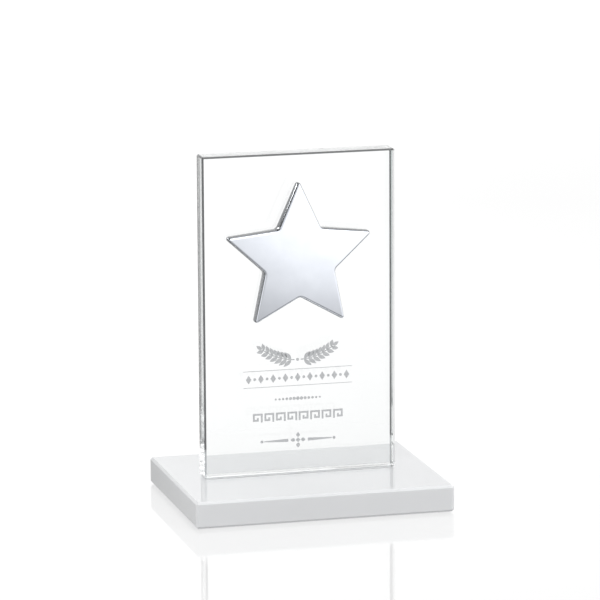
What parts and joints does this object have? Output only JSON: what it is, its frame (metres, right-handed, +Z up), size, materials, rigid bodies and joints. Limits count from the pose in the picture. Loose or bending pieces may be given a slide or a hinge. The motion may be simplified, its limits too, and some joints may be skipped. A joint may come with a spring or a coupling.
{
  "type": "star trophy",
  "caption": "Clear upright glass panel bonded to a white glass slab, with a plated five-pointed star mounted on its front.",
  "frame": {"origin": "under the middle of the slab, on the surface that the trophy stands on", "axes": "+Z up, -Y out of the front that carries the star, +X to the right as seen from the front"},
  "size_m": [0.1354, 0.105, 0.1819],
  "materials": {
    "opal_glass": "white opal glass, polished all over",
    "clear_glass": "low-iron clear glass, polished faces and edges",
    "cured_adhesive": "clear cured adhesive",
    "plated_metal": "bright plated metal with a soft polish",
    "foam_tape": "grey foam mounting tape",
    "clear_vinyl": "clear soft vinyl disc"
  },
  "bodies": {
    "root": {"base_slab": "opal_glass", "glass_panel": "clear_glass", "panel_bond": "cured_adhesive", "star_casting": "plated_metal", "star_tape": "foam_tape", "foot_front_left": "clear_vinyl", "foot_front_right": "clear_vinyl", "foot_back_left": "clear_vinyl", "foot_back_right": "clear_vinyl"}
  },
  "joints": []
}
